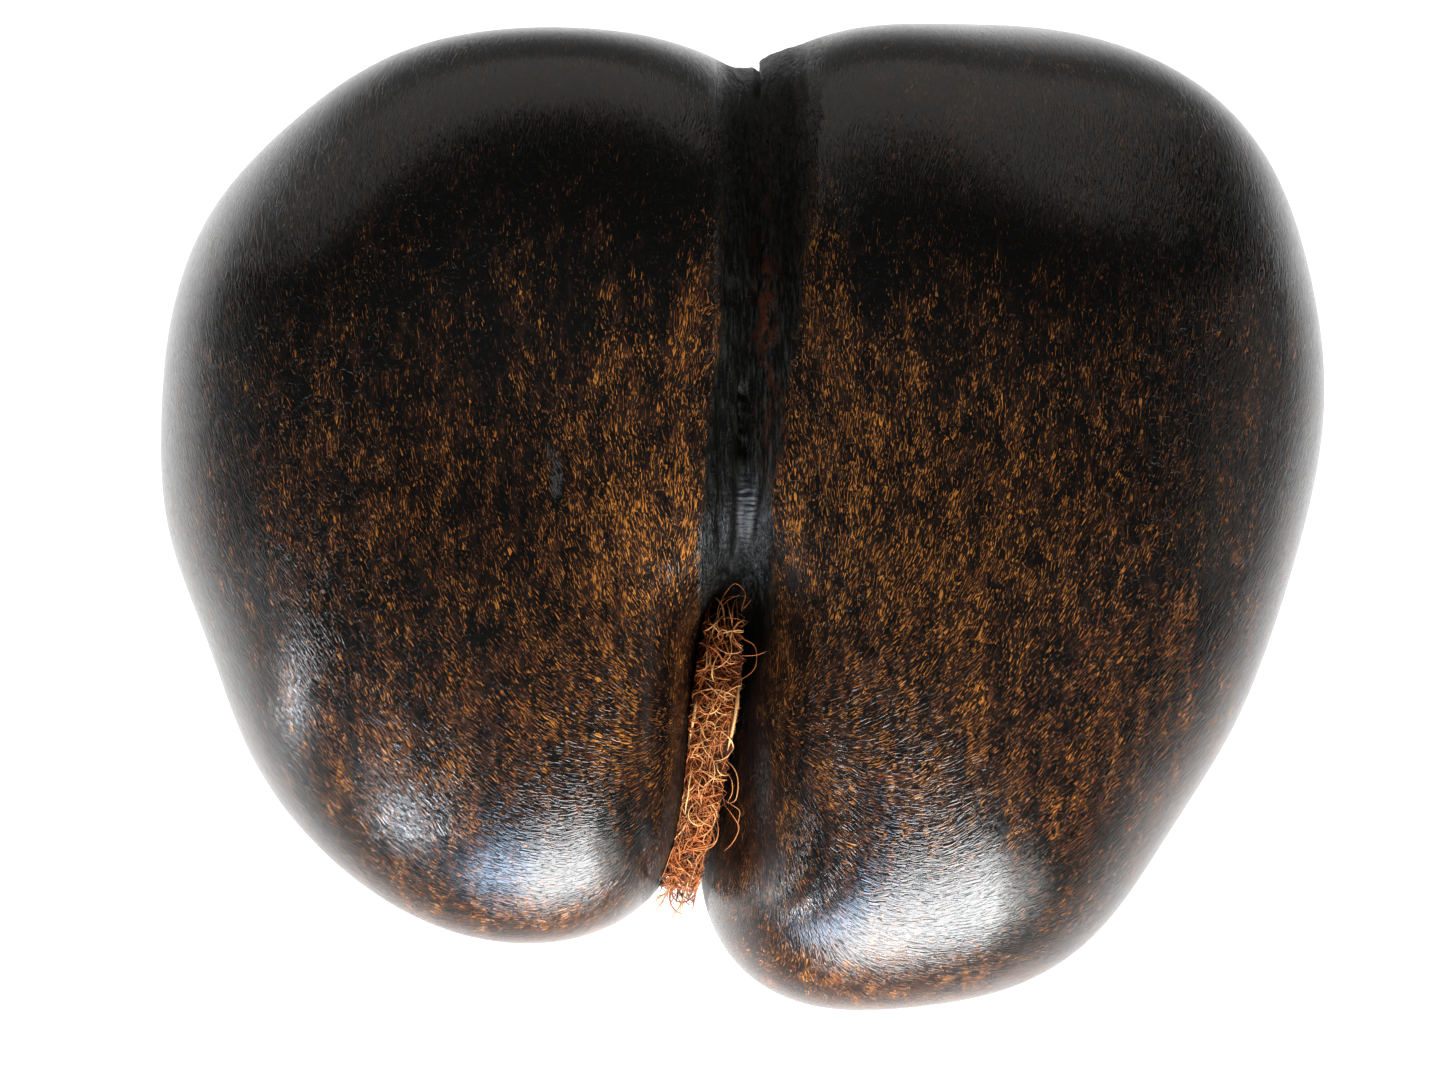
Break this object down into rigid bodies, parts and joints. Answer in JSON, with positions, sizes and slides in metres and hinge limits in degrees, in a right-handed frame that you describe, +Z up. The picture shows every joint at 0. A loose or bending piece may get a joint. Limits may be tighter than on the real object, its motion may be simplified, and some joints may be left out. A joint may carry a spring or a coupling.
{
  "type": "coco de mer nut",
  "caption": "Polished two-lobed coco de mer nut lying on its back, with a ribbed furrow and a tuft of dry fibre in the slit between the lobes.",
  "frame": {"origin": "on the surface that the nut lies on, below the middle of its bounding box", "axes": "+X across the two lobes, +Y towards the end where they are joined, +Z up, out of the front face with the furrow"},
  "size_m": [0.2976, 0.2532, 0.164],
  "materials": {
    "polished_shell": "polished near-black brown shell with fine orange-brown flecks and a dull black ribbed scar along the furrow",
    "dry_fibre": "matt orange-brown dry plant fibre, tangled and curly"
  },
  "bodies": {
    "root": {"nut": "polished_shell", "fibre_tuft": "dry_fibre"}
  },
  "joints": []
}
